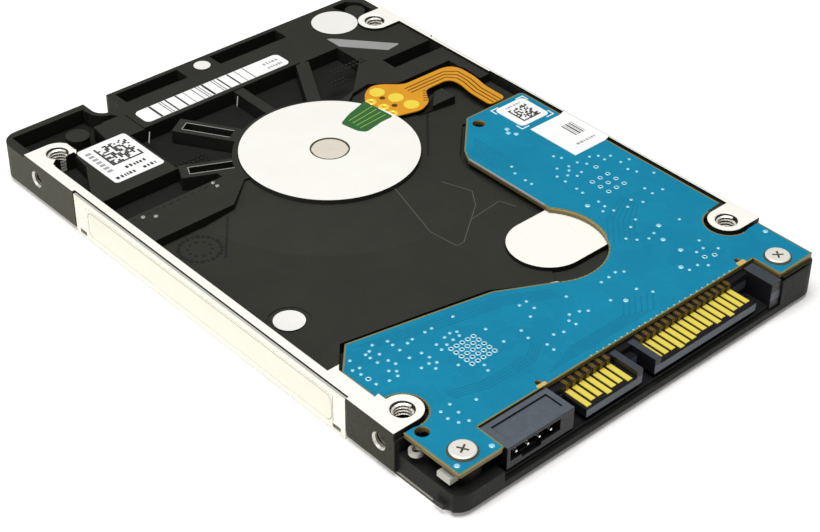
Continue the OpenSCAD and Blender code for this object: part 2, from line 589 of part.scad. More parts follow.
base_casting();
top_cover();
cover_gasket();
cover_label();
cover_screws();
motor_base();
bearing_sleeve();
thrust_cap();
stator_core();
stator_coils();
motor_flex();
rotor_hub();
spindle_shaft();
magnet_ring();
platter();
disk_clamp();
clamp_screw();
pivot_post();
pivot_bearing();
actuator_arm();
coil_frame();
voice_coil();
suspensions();
head_sliders();
arm_preamp();
head_flex();
head_connector();
lower_yoke();
upper_yoke();
yoke_magnets();
load_ramp();
ramp_screw();
latch_lever();
latch_pin();
crash_stops();
filter_pad();
breather_filter();
pcb();
pcb_screws();
pcb_insulator();
controller_chip();
motor_driver();
memory_chip();
small_components();
motor_contacts();
connector_housing();
signal_contacts();
power_contacts();
jumper_pins();
barcode_label();
code_label();
board_label();
edge_label();
seal_discs();
process_label();
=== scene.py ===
# Looks for a thin 2.5 inch hard disk drive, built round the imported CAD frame. Lengths in metres.
import bpy
import bmesh
import json
import math
import random
from mathutils import Matrix, Vector


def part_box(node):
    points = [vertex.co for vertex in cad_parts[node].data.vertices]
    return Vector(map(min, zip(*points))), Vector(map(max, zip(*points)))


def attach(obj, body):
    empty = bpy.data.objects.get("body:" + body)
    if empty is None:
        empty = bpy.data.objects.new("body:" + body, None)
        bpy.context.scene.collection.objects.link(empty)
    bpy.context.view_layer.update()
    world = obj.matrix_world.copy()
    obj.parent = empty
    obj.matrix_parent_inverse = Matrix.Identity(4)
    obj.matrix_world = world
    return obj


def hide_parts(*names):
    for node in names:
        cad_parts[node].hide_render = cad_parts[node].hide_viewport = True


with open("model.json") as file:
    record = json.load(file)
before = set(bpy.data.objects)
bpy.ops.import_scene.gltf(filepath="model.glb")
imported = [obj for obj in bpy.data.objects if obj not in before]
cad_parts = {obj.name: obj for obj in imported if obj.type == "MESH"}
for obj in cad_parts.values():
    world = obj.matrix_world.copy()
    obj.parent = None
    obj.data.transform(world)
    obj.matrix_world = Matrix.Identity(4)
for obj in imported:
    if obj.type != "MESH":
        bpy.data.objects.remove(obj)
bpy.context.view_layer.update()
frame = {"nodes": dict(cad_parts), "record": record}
MM = 0.001
nodes = frame["nodes"]
scene = bpy.context.scene

# places that several pieces share, in millimetres
SX, SY = 0.3, 15.3  # spindle axis
HX, HYF, HYR = 30.86, -36.175, 40.425  # corner holes: half spacing, front row, rear row
YF = -50.175  # connector face of the drive
LOW = 5.0  # low black field round the motor's cone
FIELD = 6.5  # high black field at the rear
LEFT_SCREW = (-30.26, -46.4, 0.5)  # board screws: x, y and turn of the cross
RIGHT_SCREW = (29.81, -46.4, 0.9)
INK_HIGH = 0.006  # thickness of the print on the labels
TAIL_PITCH = 1.27  # spacing of the plug's contacts


# ---------- materials ----------
class Mat:
    """A node material on one Principled shader."""

    def __init__(self, name):
        self.m = bpy.data.materials.new(name)
        self.m.use_nodes = True
        self.t = self.m.node_tree
        self.t.nodes.clear()
        out = self.t.nodes.new("ShaderNodeOutputMaterial")
        self.b = self.t.nodes.new("ShaderNodeBsdfPrincipled")
        self.t.links.new(self.b.outputs[0], out.inputs[0])
        self.co = self.t.nodes.new("ShaderNodeTexCoord").outputs["Object"]
        self.geo = self.t.nodes.new("ShaderNodeNewGeometry")

    def node(self, kind, **values):
        n = self.t.nodes.new(kind)
        for k, v in values.items():
            setattr(n, k, v)
        return n

    def link(self, a, b):
        self.t.links.new(a, b)

    def put(self, socket, value):
        if isinstance(value, (int, float)):
            socket.default_value = value
        elif isinstance(value, (tuple, list)):
            socket.default_value = tuple(value) + (1,) * (4 - len(value))
        else:
            self.link(value, socket)

    def noise(self, scale, detail=3, rough=0.5, coords=None):
        n = self.node("ShaderNodeTexNoise")
        self.link(coords or self.co, n.inputs["Vector"])
        n.inputs["Scale"].default_value = scale
        n.inputs["Detail"].default_value = detail
        n.inputs["Roughness"].default_value = rough
        return n.outputs["Fac"]

    def scaled(self, x, y, z):
        n = self.node("ShaderNodeMapping")
        self.link(self.co, n.inputs["Vector"])
        n.inputs["Scale"].default_value = (x, y, z)
        return n.outputs[0]

    def math(self, op, a, b=0.0, c=0.0):
        n = self.node("ShaderNodeMath", operation=op)
        for s, v in zip(n.inputs, (a, b, c)):
            self.put(s, v)
        return n.outputs[0]

    def span(self, v, a, b, lo, hi):
        n = self.node("ShaderNodeMapRange")
        for key, val in (("Value", v), ("From Min", a), ("From Max", b), ("To Min", lo), ("To Max", hi)):
            self.put(n.inputs[key], val)
        return n.outputs[0]

    def mix(self, f, a, b):
        n = self.node("ShaderNodeMix", data_type="RGBA")
        self.put(n.inputs[0], f)
        self.put(n.inputs[6], a)
        self.put(n.inputs[7], b)
        return n.outputs[2]

    def xyz(self, v):
        n = self.node("ShaderNodeSeparateXYZ")
        self.link(v, n.inputs[0])
        return n.outputs

    def bump(self, height, distance, strength=1.0, soft=None):
        n = self.node("ShaderNodeBump")
        n.inputs["Strength"].default_value = strength
        n.inputs["Distance"].default_value = distance
        self.link(height, n.inputs["Height"])
        if soft:
            self.link(soft, n.inputs["Normal"])
        self.link(n.outputs[0], self.b.inputs["Normal"])

    def bevel(self, radius):
        n = self.node("ShaderNodeBevel", samples=4)
        n.inputs["Radius"].default_value = radius
        return n.outputs[0]

    def set(self, **values):
        names = {"color": "Base Color", "rough": "Roughness", "metal": "Metallic",
            "spec": "Specular IOR Level",
                 "coat": "Coat Weight", "sheen": "Sheen Weight"}
        for k, v in values.items():
            self.put(self.b.inputs[names[k]], v)


def tint(c, k):
    return tuple(min(1.0, x * k) for x in c)


def simple(name, color, rough, metal=0.0, var=0.06, rvar=0.06, scale=500, grain=4000, depth=0.000004,
           stretch=None, **more):
    """Even colour with slow variation, varied roughness and a fine grain in relief."""
    m = Mat(name)
    slow = m.noise(scale, 4, 0.6)
    co = m.scaled(*stretch) if stretch else None
    fine = m.noise(grain, 3, 0.6, co)
    m.set(color=m.mix(slow, tint(color, 1 - var), tint(color, 1 + var)), metal=metal,
          rough=m.span(fine, 0.3, 0.7, max(0.02, rough - rvar), min(1, rough + rvar)), **more)
    m.bump(fine, depth)
    return m.m


def cover_material():
    """Brushed cover sheet; its thin rim under the front corners carries the casting's black coat."""
    m = Mat("cover_sheet")
    y, z = m.xyz(m.co)[1:]
    side = m.math("LESS_THAN", m.math("ABSOLUTE", m.xyz(m.geo.outputs["Normal"])[2]), 0.5)
    rim = m.math("MULTIPLY", side, m.math("LESS_THAN", y, -0.0355))
    rim = m.math("MULTIPLY", rim, m.math("LESS_THAN", z, 0.0009))
    steel = m.mix(m.noise(500, 4, 0.6), (0.81, 0.79, 0.71), (0.91, 0.89, 0.81))
    fine = m.noise(1500, 3, 0.6, m.scaled(1, 0.03, 1))
    m.set(color=m.mix(rim, steel, (0.012, 0.012, 0.010)), metal=m.span(rim, 0, 1, 0.5, 0.0),
          rough=m.span(fine, 0.3, 0.7, 0.24, 0.36))
    m.bump(fine, 0.000002)
    return m.m


def casting_material():
    """Black coated die casting whose highest faces are machined bright."""
    m = Mat("black_casting")
    x, y, z = m.xyz(m.co)
    nz = m.xyz(m.geo.outputs["Normal"])[2]
    # faces above 6.9 mm are machined, and so is the pad at 5.7 mm in the notch of the board
    wobble = m.span(m.noise(2500, 2), 0.3, 0.7, -0.00001, 0.00001)
    top = m.math("GREATER_THAN", m.math("ADD", z, wobble), 0.00690)
    up = m.math("GREATER_THAN", nz, 0.35)
    bright = m.math("MULTIPLY", top, up)
    pad = m.math("MULTIPLY", m.math("COMPARE", z, 0.0057, 0.00004), m.math("LESS_THAN", y, -0.0155))
    pad = m.math("MULTIPLY", pad, up)
    bright = m.math("MAXIMUM", bright, pad)
    slow = m.noise(160, 4, 0.6)
    fine = m.noise(2600, 4, 0.65)
    grains = m.noise(9000, 2, 0.5)
    dark = m.mix(slow, (0.020, 0.020, 0.016), (0.031, 0.031, 0.025))
    dark = m.mix(m.span(grains, 0.62, 0.75, 0, 0.35), dark, (0.07, 0.068, 0.058))
    # painted shade: the coat is darker low in the pockets, on the inner walls and on the floor of the channel
    # round the motor ribbon
    wall = m.math("LESS_THAN", m.math("ABSOLUTE", nz), 0.5)
    outer = m.math("MAXIMUM", m.math("GREATER_THAN", m.math("ABSOLUTE", x), 0.0346),
        m.math("GREATER_THAN", y, 0.0497))
    inner = m.math("MULTIPLY", wall, m.math("SUBTRACT", 1.0, outer))
    low = m.span(z, 0.0041, 0.0048, 0.22, 1.0)
    channel = m.math("MULTIPLY", m.math("COMPARE", z, 0.0058, 0.00003), m.math("GREATER_THAN", y, 0.0079))
    channel = m.math("MULTIPLY", channel, m.math("GREATER_THAN", x, 0.0176))
    low = m.math("MULTIPLY", low, m.span(channel, 0, 1, 1.0, 0.12))
    dark = m.mix(m.math("MULTIPLY", inner, 0.72), m.mix(low, (0.003, 0.003, 0.003), dark),
        (0.004, 0.004, 0.0035))
    # outer walls: dark yellowish grey, darker towards the front
    dark = m.mix(m.math("MULTIPLY", wall, outer), dark,
                 m.mix(m.span(y, -0.0392, 0.030, 0.0, 1.0), (0.026, 0.026, 0.015), (0.058, 0.056, 0.036)))
    # painted shade: all walls near the front end are near black
    dark = m.mix(m.math("MULTIPLY", wall, m.math("LESS_THAN", y, -0.0391)), dark, (0.007, 0.007, 0.005))
    lathe = m.noise(2400, 2, 0.5, m.scaled(1, 0.06, 1))
    metal = m.mix(lathe, (0.96, 0.935, 0.86), (1.0, 0.985, 0.915))
    m.set(color=m.mix(bright, dark, metal), metal=m.math("MULTIPLY", bright, 0.12),
          rough=m.span(bright, 0, 1, m.span(fine, 0.3, 0.7, 0.50, 0.68), 0.34), spec=0.22)
    height = m.math("ADD", fine, m.math("MULTIPLY", grains, 0.35))
    m.bump(height, 0.000012, 0.8, m.bevel(0.00016))
    return m.m


def board_material():
    """Blue solder mask over faint copper, with bare glass fibre edges."""
    m = Mat("blue_board")
    nz = m.math("ABSOLUTE", m.xyz(m.geo.outputs["Normal"])[2])
    side = m.math("LESS_THAN", nz, 0.5)
    slow = m.noise(90, 3, 0.5)
    weave = m.node("ShaderNodeTexChecker")
    m.link(m.co, weave.inputs["Vector"])
    weave.inputs["Scale"].default_value = 1900
    copper = m.math("GREATER_THAN", m.noise(260, 2, 0.5), 0.52)
    blue = m.mix(slow, (0.002, 0.176, 0.312), (0.004, 0.236, 0.385))
    blue = m.mix(m.math("MULTIPLY", copper, 0.10), blue, (0.005, 0.30, 0.46))
    layers = m.noise(5000, 2, 0.5, m.scaled(0.05, 0.05, 1))
    z = m.xyz(m.co)[2]
    fibre = m.mix(layers, (0.40, 0.26, 0.06), (0.72, 0.53, 0.20))
    # painted shade: the fibre edge is darker below its top rim
    fibre = m.mix(m.span(z, 0.0062, 0.00652, 0.85, 0.0), fibre, (0.10, 0.075, 0.02))
    m.set(color=m.mix(side, blue, fibre), rough=m.span(m.noise(1500, 3), 0.3, 0.7, 0.34, 0.46), spec=0.3)
    m.bump(m.math("ADD", m.math("MULTIPLY", weave.outputs["Fac"], 0.12), m.math("MULTIPLY", copper, 0.6)),
        0.000010)
    return m.m


def turned_material(name, color, centre, rough=0.28):
    """Turned metal: fine rings round a centre."""
    m = Mat(name)
    x, y, z = m.xyz(m.co)
    dx = m.math("SUBTRACT", x, centre[0])
    dy = m.math("SUBTRACT", y, centre[1])
    r = m.math("SQRT", m.math("ADD", m.math("MULTIPLY", dx, dx), m.math("MULTIPLY", dy, dy)))
    c = m.node("ShaderNodeCombineXYZ")
    m.link(r, c.inputs[0])
    rings = m.noise(9000, 2, 0.6, c.outputs[0])
    slow = m.noise(220, 3)
    side = m.math("LESS_THAN", m.xyz(m.geo.outputs["Normal"])[2], 0.5)
    m.set(color=m.mix(side, m.mix(slow, tint(color, 0.95), tint(color, 1.03)), (0.03, 0.03, 0.026)),
        metal=0.12, rough=m.span(rings, 0.3, 0.7, rough - 0.06, rough + 0.10))
    m.bump(rings, 0.0000025)
    return m.m


def capped(name, top, side, rough, metal=0.2):
    """One colour on the faces that look up, another on the rest."""
    m = Mat(name)
    nz = m.xyz(m.geo.outputs["Normal"])[2]
    slow = m.noise(400, 4, 0.6)
    fine = m.noise(3500, 3, 0.6)
    upper = m.mix(slow, tint(top, 0.95), tint(top, 1.04))
    m.set(color=m.mix(m.math("LESS_THAN", nz, 0.5), upper, side), metal=metal,
        rough=m.span(fine, 0.3, 0.7, rough - 0.05, rough + 0.08))
    m.bump(fine, 0.000002)
    return m.m


def connector_material():
    """Black moulding that looks slate where its upper faces catch the light: painted highlight, also on the
    front lip of the tongues.
    """
    m = Mat("black_moulding_painted_highlights")
    x, y, z = m.xyz(m.co)
    nx, ny, nz = m.xyz(m.geo.outputs["Normal"])
    top = m.math("MULTIPLY", m.math("GREATER_THAN", nz, 0.5), m.math("GREATER_THAN", z, 0.00573))
    # painted highlight on the front faces of the tongues; upper faces right of the jumper block get half of
    # it
    lip = m.math("MULTIPLY", m.math("LESS_THAN", ny, -0.5), m.math("COMPARE", z, 0.0040, 0.0007))
    lip = m.math("MULTIPLY", lip, m.math("GREATER_THAN", x, -0.0125))
    top = m.math("MULTIPLY", top, m.span(m.math("LESS_THAN", x, -0.0142), 0, 1, 0.5, 1.0))
    lit = m.math("MAXIMUM", top, m.math("MULTIPLY", lip, 0.8))
    fine = m.noise(2600, 4, 0.65)
    slate = m.mix(m.noise(700, 4, 0.6), (0.060, 0.074, 0.092), (0.105, 0.125, 0.150))
    m.set(color=m.mix(lit, (0.005, 0.005, 0.007), slate), rough=m.span(fine, 0.3, 0.7, 0.34, 0.56), spec=0.35)
    m.bump(fine, 0.000010, 0.8, m.bevel(0.00012))
    return m.m


def side_label_material():
    """Warm white film with a faint rounded outline on the long sides."""
    m = Mat("side_film")
    x, y, z = m.xyz(m.co)
    nx = m.math("ABSOLUTE", m.xyz(m.geo.outputs["Normal"])[0])
    qy = m.math("SUBTRACT", m.math("ABSOLUTE", m.math("SUBTRACT", y, -0.0002)), 0.0259)
    qz = m.math("SUBTRACT", m.math("ABSOLUTE", m.math("SUBTRACT", z, 0.0034)), 0.00095)
    ay = m.math("MAXIMUM", qy, 0.0)
    az_ = m.math("MAXIMUM", qz, 0.0)
    out = m.math("SQRT", m.math("ADD", m.math("MULTIPLY", ay, ay), m.math("MULTIPLY", az_, az_)))
    inn = m.math("MINIMUM", m.math("MAXIMUM", qy, qz), 0.0)
    line = m.math("COMPARE", m.math("ADD", out, inn), 0.00115, 0.00006)
    line = m.math("MULTIPLY", line, m.math("GREATER_THAN", nx, 0.5))
    slow = m.noise(260, 3)
    film = m.mix(slow, (0.84, 0.815, 0.70), (0.90, 0.87, 0.76))
    m.set(color=m.mix(line, film, (0.30, 0.29, 0.25)), metal=0.1,
        rough=m.span(m.noise(1800, 3), 0.3, 0.7, 0.35, 0.5))
    m.bump(m.noise(3000, 3), 0.000002)
    return m.m


M = {
    "casting": casting_material(),
    "board_blue": board_material(),
    "cover_metal": cover_material(),
    "gasket": simple("black_rubber", (0.03, 0.03, 0.03), 0.8),
    "label_silver": simple("silver_film", (0.88, 0.87, 0.85), 0.32, 0.55, grain=900, depth=0.000002),
    "label_white": simple("white_label", (0.90, 0.90, 0.89), 0.55, grain=5000, var=0.02, depth=0.000002),
    "screw_steel": simple("plated_screw", (0.86, 0.83, 0.76), 0.30, 0.45, grain=3500, depth=0.000004),
    "screw_dark": simple("dark_screw", (0.20, 0.20, 0.21), 0.35, 0.9),
    "machined": turned_material("turned_base", (0.99, 0.965, 0.90), (SX * MM, SY * MM), 0.34),
    "bronze": simple("bronze_sleeve", (0.60, 0.44, 0.22), 0.35, 0.9),
    "steel": simple("ground_steel", (0.66, 0.67, 0.69), 0.26, 0.95, stretch=(1, 0.1, 1)),
    "lamination": simple("stator_steel", (0.26, 0.26, 0.27), 0.4, 0.8, grain=9000),
    "copper_wire": simple("copper_winding", (0.62, 0.26, 0.09), 0.3, 0.85, grain=5200,
        stretch=(1, 1, 0.2), depth=0.00003),
    "flex_amber": simple("amber_film", (0.80, 0.35, 0.015), 0.24, 0.1, var=0.10, coat=0.5),
    "magnet": simple("nickel_magnet", (0.45, 0.45, 0.46), 0.22, 0.95),
    "disk": simple("disk_mirror", (0.80, 0.81, 0.83), 0.06, 1.0, rvar=0.02, var=0.01, depth=0.0000004),
    "slider": simple("slider_ceramic", (0.10, 0.10, 0.11), 0.25),
    "plastic_black": simple("black_plastic", (0.03, 0.03, 0.032), 0.45),
    "plastic_slate": connector_material(),
    "plastic_ivory": simple("ivory_plastic", (0.80, 0.76, 0.66), 0.45),
    "film": simple("clear_film", (0.75, 0.75, 0.70), 0.25),
    "chip": simple("chip_black", (0.025, 0.025, 0.027), 0.5),
    "component": simple("chip_capacitor", (0.36, 0.25, 0.14), 0.35, var=0.2, scale=900),
    "gold": simple("gold_contact", (1.0, 0.80, 0.12), 0.22, 0.25, var=0.05, stretch=(1, 0.1, 1)),
    "filter": simple("filter_felt", (0.86, 0.86, 0.82), 0.9, grain=2500, depth=0.00004, sheen=0.3),
    "foil_grey": simple("grey_foil", (0.44, 0.44, 0.43), 0.38, 0.35, var=0.16, scale=420, grain=1800,
        depth=0.00001),
}
EXTRA = {
    "solder": simple("solder_dot", (0.36, 0.70, 0.84), 0.20, 0.15, depth=0.000003),
    "trace": simple("trace_mask", (0.003, 0.185, 0.315), 0.3),
    "ink": simple("label_ink", (0.035, 0.035, 0.035), 0.6),
    "ink_grey": simple("label_grey_ink", (0.35, 0.35, 0.36), 0.6),
    "green_film": simple("green_film", (0.030, 0.135, 0.030), 0.26, var=0.18, coat=0.4),
    "amber_pad": simple("amber_pad", (1.0, 0.76, 0.07), 0.20, 0.1, coat=0.6),
    "amber_dark": simple("amber_gap", (0.10, 0.040, 0.006), 0.4),
    # bright metal on the pin tips and machined dots; painted highlight on the slot rims, the rib ticks and
    # the board's left edge
    "bright_metal_and_highlight": simple("bright_metal_and_highlight", (0.93, 0.91, 0.86), 0.3, 0.8),
    "worn_edge": simple("worn_edge", (0.55, 0.54, 0.50), 0.4, 0.6),
    "emboss": simple("cast_mark", (0.003, 0.003, 0.003), 0.6),
    "thread": simple("thread_metal", (0.86, 0.83, 0.74), 0.32, 0.3),
    "fibre": simple("bare_fibre", (0.62, 0.42, 0.13), 0.45),
    # pale lines drawn along outlines on the field
    "faint_outline": simple("pale_outline_mark", (0.085, 0.085, 0.078), 0.5),
    "seal": capped("seal_film", (1.0, 0.98, 0.93), (0.006, 0.006, 0.005), 0.4),
    # plated screw heads: the darker sides are painted shade
    "screw_head_painted_shade": capped("screw_head_painted_shade", (0.93, 0.90, 0.82), (0.30, 0.27, 0.18), 0.3, 0.3),
    # painted shade: dark rings and crosses in the groove round the hub, in the screw recesses and round the
    # screw heads
    "painted_shade": simple("groove_and_ring_shade", (0.055, 0.060, 0.030), 0.6),
    "lead": simple("tinned_lead", (0.16, 0.10, 0.02), 0.35, 0.3),
    "silk": simple("white_print", (0.80, 0.88, 0.90), 0.5),
}
SLOT_OF = {s["node"]: s["material_slot"] for s in frame["record"]["subparts"]}
for name, obj in nodes.items():
    obj.data.materials.clear()
    obj.data.materials.append(M[SLOT_OF[name]])
nodes["seal_discs"].data.materials[0] = EXTRA["seal"]
nodes["cover_label"].data.materials[0] = side_label_material()


# ---------- mesh helpers ----------
def finish_piece(bm, name, mat, body="base", replaces=(), smooth=False):
    """Turns a bmesh into a named piece that rides on a body and carries a material slot."""
    bmesh.ops.recalc_face_normals(bm, faces=bm.faces)
    me = bpy.data.meshes.new(name)
    bm.to_mesh(me)
    bm.free()
    ob = bpy.data.objects.new(name, me)
    scene.collection.objects.link(ob)
    me.materials.append(mat)
    if smooth:
        for p in me.polygons:
            p.use_smooth = True
    if replaces:
        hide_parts(*replaces)
    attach(ob, body)
    return ob


def add_prism(bm, poly, z0, z1, bevel=0.0):
    """A prism on a plan outline in mm."""
    low = [bm.verts.new((x * MM, y * MM, z0 * MM)) for x, y in poly]
    high = [bm.verts.new((x * MM, y * MM, z1 * MM)) for x, y in poly]
    n = len(poly)
    bm.faces.new(list(reversed(low)))
    top = bm.faces.new(high)
    for i in range(n):
        bm.faces.new((low[i], low[(i + 1) % n], high[(i + 1) % n], high[i]))
    if bevel:
        bmesh.ops.bevel(bm, geom=list(top.edges), offset=bevel * MM, segments=2, affect="EDGES", profile=0.5)


def rect(x0, x1, y0, y1):
    return [(x0, y0), (x1, y0), (x1, y1), (x0, y1)]


def disc(cx, cy, r, n=24):
    return [(cx + r * math.cos(2 * math.pi * i / n),
        cy + r * math.sin(2 * math.pi * i / n)) for i in range(n)]


def strip(a, b, w):
    """A straight band of width w between two points."""
    d = Vector((b[0] - a[0], b[1] - a[1]))
    n = Vector((-d.y, d.x)).normalized() * (w / 2)
    return [(a[0] - n.x, a[1] - n.y), (b[0] - n.x, b[1] - n.y), (b[0] + n.x, b[1] + n.y),
        (a[0] + n.x, a[1] + n.y)]


def rounded(poly, r, n=4):
    """Rounds the corners of an outline."""
    out = []
    k = len(poly)
    for i in range(k):
        p, a, b = Vector(poly[i]), Vector(poly[i - 1]), Vector(poly[(i + 1) % k])
        ra = min(r, (a - p).length * 0.45)
        rb = min(r, (b - p).length * 0.45)
        s, e = p + (a - p).normalized() * ra, p + (b - p).normalized() * rb
        for j in range(n + 1):
            t = j / n
            q = s * (1 - t) ** 2 + p * 2 * t * (1 - t) + e * t * t
            out.append((q.x, q.y))
    return out


def prisms(name, polys, z0, z1, mat, body="base", bevel=0.0, replaces=()):
    """One piece made of prisms of the same height."""
    bm = bmesh.new()
    for p in polys:
        add_prism(bm, p, z0, z1, bevel)
    return finish_piece(bm, name, mat, body, replaces)


def add_lathe(bm, cx, cy, profile, n=32, axis=None):
    """Turns a profile of (radius, height) in mm round a vertical line, or places it with a matrix."""
    rings = []
    for r, z in profile:
        if r < 1e-6:
            rings.append([bm.verts.new((cx * MM, cy * MM, z * MM))])
        else:
            rings.append([bm.verts.new(((cx + r * math.cos(2 * math.pi * i / n)) * MM,
                (cy + r * math.sin(2 * math.pi * i / n)) * MM, z * MM)) for i in range(n)])
    made = [v for ring in rings for v in ring]
    for a, b in zip(rings, rings[1:]):
        for i in range(n):
            j = (i + 1) % n
            if len(a) == 1 and len(b) == 1:
                continue
            if len(a) == 1:
                bm.faces.new((a[0], b[i], b[j]))
            elif len(b) == 1:
                bm.faces.new((a[i], b[0], a[j]))
            else:
                bm.faces.new((a[i], b[i], b[j], a[j]))
    if axis is not None:
        bmesh.ops.transform(bm, matrix=axis, verts=made)


# ---------- circuit board details ----------
BOARD_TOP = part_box("pcb")[1][2] / MM
DOTS = [(-29.4, -24.4), (-27.1, -24.8), (-26.3, -24.6), (-25.2, -23.9), (-30.4, -26.1), (-29.4, -26.3),
    (-27.1, -25.7), (-25.7, -25.9), (-23.2, -24.6), (-23.2, -25.6), (-30.1, -27.4), (-27.0, -27.0),
    (-25.7, -27.6), (-23.2, -27.0), (-21.5, -26.6), (-20.5, -26.4), (-18.3, -26.4), (-17.1, -26.4),
    (-13.3, -26.4), (-25.4, -28.7), (-27.0, -29.2), (-29.9, -30.1), (-26.3, -29.9), (-28.2, -30.7),
    (-26.8, -30.7), (-23.3, -29.0), (-21.5, -29.3), (-21.3, -30.6), (-23.5, -31.5), (-22.2, -31.5),
    (-21.3, -32.0), (-22.2, -32.8), (-18.9, -29.3), (-19.1, -30.5), (-17.9, -30.2), (-17.1, -28.9),
    (-16.0, -28.7), (-15.1, -29.1), (-16.6, -30.0), (-15.4, -29.9), (-11.9, -31.2), (-19.6, -34.2),
    (-17.1, -36.4), (-17.5, -37.5), (-11.9, -34.6), (-8.6, -34.5), (-9.0, -36.2), (-5.6, -33.2),
    (-5.0, -30.5), (-3.7, -30.5), (-3.9, -32.2), (-6.0, -37.9), (-4.6, -38.4), (-8.1, -38.8),
    (-8.2, -40.1), (-2.4, -37.2), (-1.4, -36.3), (-2.2, -38.3), (0.1, -36.7), (-27.4, -39.4),
    (-25.6, -39.1), (-27.6, -40.9), (-25.8, -40.9), (-22.5, -40.6), (-27.1, -42.3), (-25.9, -42.9),
    (1.1, -33.3), (1.1, -37.4), (7.0, -34.2), (8.6, -34.1), (10.1, -33.9), (11.1, -34.6), (5.0, -37.8),
    (9.5, -38.4), (10.7, -40.3), (17.0, -29.5), (18.0, -30.7), (19.5, -31.6), (21.0, -31.2),
    (26.3, -31.3), (19.6, -28.0), (21.5, -27.2), (24.5, -36.6), (18.2, -40.3), (19.9, -40.3),
    (21.0, -41.3), (22.1, -38.2), (23.5, -38.2), (25.1, -39.6), (20.8, -20.6), (20.6, -22.0),
    (19.5, -22.7), (20.8, -23.6), (23.0, -24.3), (24.7, -23.4), (25.6, -24.9), (28.4, -22.7),
    (28.3, -24.3), (30.2, -24.6), (30.8, -18.9), (32.5, -20.8), (20.8, -16.2), (20.7, -17.5),
    (30.3, -17.6), (17.7, -5.8), (16.8, -7.4), (16.7, -9.7), (16.7, -11.0), (24.4, -7.9), (25.0, -9.0),
    (22.4, -10.6), (24.2, -11.3), (25.9, -11.4), (20.9, -12.1), (23.4, -12.1), (22.3, -12.9),
    (20.9, -13.8), (23.3, -13.9), (24.5, -13.6), (26.7, -12.6), (28.4, -11.5), (29.6, -12.2),
    (29.6, -13.5), (31.0, -13.4), (30.9, -15.6), (32.4, -15.9)]
BIG_DOTS = [(6.5, -39.2), (20.8, -33.1), (22.9, -30.4), (20.8, -36.4), (17.8, -39.1), (18.8, -20.3),
    (33.3, -41.4), (24.4, 2.1), (23.8, 1.2), (24.5, 0.2), (-32.6, -47.9), (-27.0, -48.1)]
RINGS = [(-30.0, -28.7), (22.1, -39.7), (23.5, -40.3), (27.1, -14.1)]
RINGS += [(-18.1 + i, -31.2 - j) for i in range(5) for j in range(5)]
RINGS += [(23.8 + 1.65 * i, -16.5 - 1.65 * j) for i in range(3) for j in range(3)]


def domes(name, spots, r, h, z):
    """Small solder domes on the board."""
    bm = bmesh.new()
    for x, y in spots:
        add_lathe(bm, x, y, [(r, z - 0.02), (r * 0.9, z + h * 0.45), (r * 0.55, z + h * 0.85),
            (0, z + h)], 12)
    return finish_piece(bm, name, EXTRA["solder"], smooth=True)


domes("board_small_dots", DOTS, 0.27, 0.07, BOARD_TOP)
domes("board_large_dots", BIG_DOTS, 0.42, 0.09, BOARD_TOP)
bm = bmesh.new()
for x, y in RINGS:
    add_lathe(bm, x, y, [(0.20, BOARD_TOP - 0.02), (0.21, BOARD_TOP + 0.04), (0.30, BOARD_TOP + 0.07),
        (0.40, BOARD_TOP + 0.04), (0.44, BOARD_TOP - 0.02)], 16)
finish_piece(bm, "board_ring_vias", EXTRA["solder"], smooth=True)
prisms("board_via_holes", [disc(x, y, 0.2, 12) for x, y in RINGS], BOARD_TOP - 0.02, BOARD_TOP + 0.006,
    M["chip"])

TRACES = []
for i in range(7):
    TRACES.append([(15.6 + 0.55 * i, 0.6 + 0.5 * i), (15.6 + 0.55 * i, -5.0 - 0.6 * i)])
for i in range(6):
    TRACES.append([(14.6 + 0.5 * i, -28.4 - 0.6 * i), (18.6 + 0.5 * i, -24.3 - 0.6 * i),
        (24.6, -21.8 - 0.6 * i)])
for i in range(6):
    TRACES.append([(-12.0 + 1.1 * i, -42.9 + 0.35 * i), (8.0 - 0.8 * i, -42.9 + 0.35 * i),
        (10.5 - 0.8 * i, -40.4 + 0.35 * i)])
for i in range(5):
    TRACES.append([(-27.5 + 0.7 * i, -22.6 - 0.5 * i), (-15.5, -25.2 - 0.5 * i), (-6.0, -27.3 - 0.5 * i),
        (0.6, -30.8 - 0.5 * i)])
for i in range(4):
    TRACES.append([(-24.5, -37.0 - 0.5 * i), (-19.5, -38.6 - 0.5 * i), (-11.5, -38.6 - 0.5 * i),
        (-8.9, -36.8 - 0.5 * i)])
bm = bmesh.new()
for line in TRACES:
    for a, b in zip(line, line[1:]):
        add_prism(bm, strip(a, b, 0.20), BOARD_TOP - 0.01, BOARD_TOP + 0.012)
finish_piece(bm, "board_traces", EXTRA["trace"])
prisms("board_edge_test_points", [rect(-5.6 + 1.15 * i, -5.35 + 1.15 * i, -44.25, -44.05) for i in range(25)],
       BOARD_TOP - 0.01, BOARD_TOP + 0.02, EXTRA["solder"])
prisms("board_break_tabs", [rounded(rect(24.1, 25.7, -44.32, -43.55), 0.3),
    rounded(rect(-15.2, -13.6, -44.32, -43.75), 0.3)], BOARD_TOP - 0.02, BOARD_TOP + 0.012,
    EXTRA["fibre"])

# ---------- labels ----------
random.seed(7)


def bars(name, x0, x1, y0, y1, z, widths, mat):
    """Upright bars of the given widths, every second one left out."""
    polys = []
    x = x0
    i = 0
    while x < x1:
        w = widths[i % len(widths)]
        if i % 2 == 0:
            polys.append(rect(x, min(x + w, x1), y0, y1))
        x += w
        i += 1
    return prisms(name, polys, z, z + INK_HIGH, mat)


def speckle(name, x0, y0, n, m, cell, z, mat):
    """A square of random cells that reads as a code but holds none."""
    polys = []
    for i in range(n):
        for j in range(m):
            if i == 0 or j == 0 or random.random() < 0.48:
                polys.append(rect(x0 + i * cell, x0 + (i + 0.96) * cell, y0 + j * cell,
                    y0 + (j + 0.96) * cell))
    return prisms(name, polys, z, z + INK_HIGH, mat)


